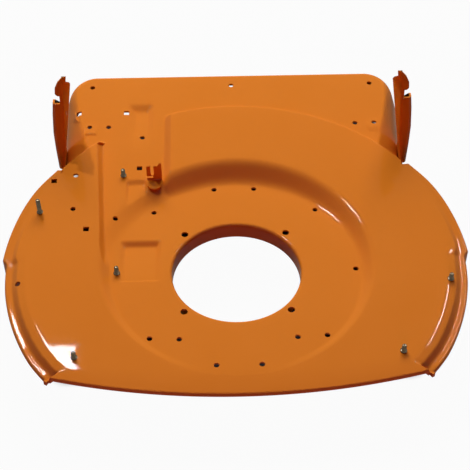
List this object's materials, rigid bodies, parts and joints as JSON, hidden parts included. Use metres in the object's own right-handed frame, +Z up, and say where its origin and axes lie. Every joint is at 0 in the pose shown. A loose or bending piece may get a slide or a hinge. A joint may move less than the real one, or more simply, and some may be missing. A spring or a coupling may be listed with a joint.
{
  "type": "mower deck",
  "caption": "Pressed steel walk-behind mower deck: sunk round engine platform with a drawn collar, belt corridor, side skirts and folded handle brackets.",
  "frame": {"origin": "centre of the large hole, on the engine platform's top face", "axes": "+Z up along the large hole's axis, +Y towards the rear of the deck, +X to the right seen from the front"},
  "size_m": [0.5574, 0.5226, 0.211],
  "materials": {
    "orange_paint": "glossy orange powder coat on pressed steel",
    "zinc": "zinc-plated steel"
  },
  "bodies": {
    "root": {"deck_shell": "orange_paint", "left_bracket": "orange_paint", "right_bracket": "orange_paint", "cable_bracket": "orange_paint", "stud_left_crescent": "zinc", "stud_corridor": "zinc", "stud_platform": "zinc", "stud_front_left": "zinc", "stud_front_right": "zinc", "stud_right_rim": "zinc"}
  },
  "joints": []
}
